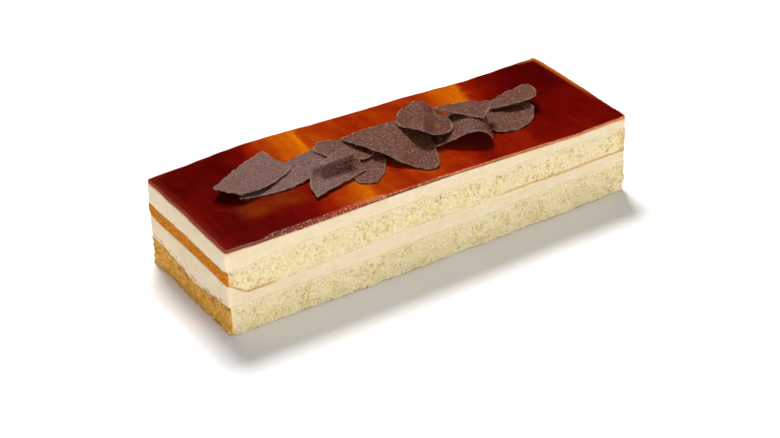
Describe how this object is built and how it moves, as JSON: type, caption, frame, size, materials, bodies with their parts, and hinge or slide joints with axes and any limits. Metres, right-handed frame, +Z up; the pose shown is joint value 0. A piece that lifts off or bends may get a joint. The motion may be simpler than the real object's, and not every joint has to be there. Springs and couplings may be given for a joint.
{
  "type": "tres leches bar cake",
  "caption": "Long bar cake of sponge sheets and cream, cut clean on its long sides, under a glossy caramel glaze with loose chocolate shavings.",
  "frame": {"origin": "on the table, under the middle of the cake's box", "axes": "+X along the cake, away from the end with the browned edge; +Y from the cut front to the back; +Z up"},
  "size_m": [0.3042, 0.1112, 0.0775],
  "materials": {
    "sponge": "matt open crumb, browned at one end",
    "cream": "smooth, softly matt, with faint knife drags",
    "caramel": "glossy set caramel, amber to dark red",
    "chocolate": "satin milk chocolate with a pale bloom"
  },
  "bodies": {
    "root": {"sponge_base": "sponge", "cream_lower": "cream", "sponge_upper": "sponge", "cream_upper": "cream", "caramel_glaze": "caramel", "shaving_arch": "chocolate", "shaving_boot": "chocolate", "shaving_crest_back": "chocolate", "shaving_left_back": "chocolate", "shaving_left_leaf": "chocolate", "shaving_left_under": "chocolate", "shaving_lower_tail": "chocolate", "shaving_ridge": "chocolate", "shaving_right_band": "chocolate", "shaving_round": "chocolate", "shaving_triangle": "chocolate", "shaving_valley": "chocolate", "shaving_wing": "chocolate"}
  },
  "joints": []
}
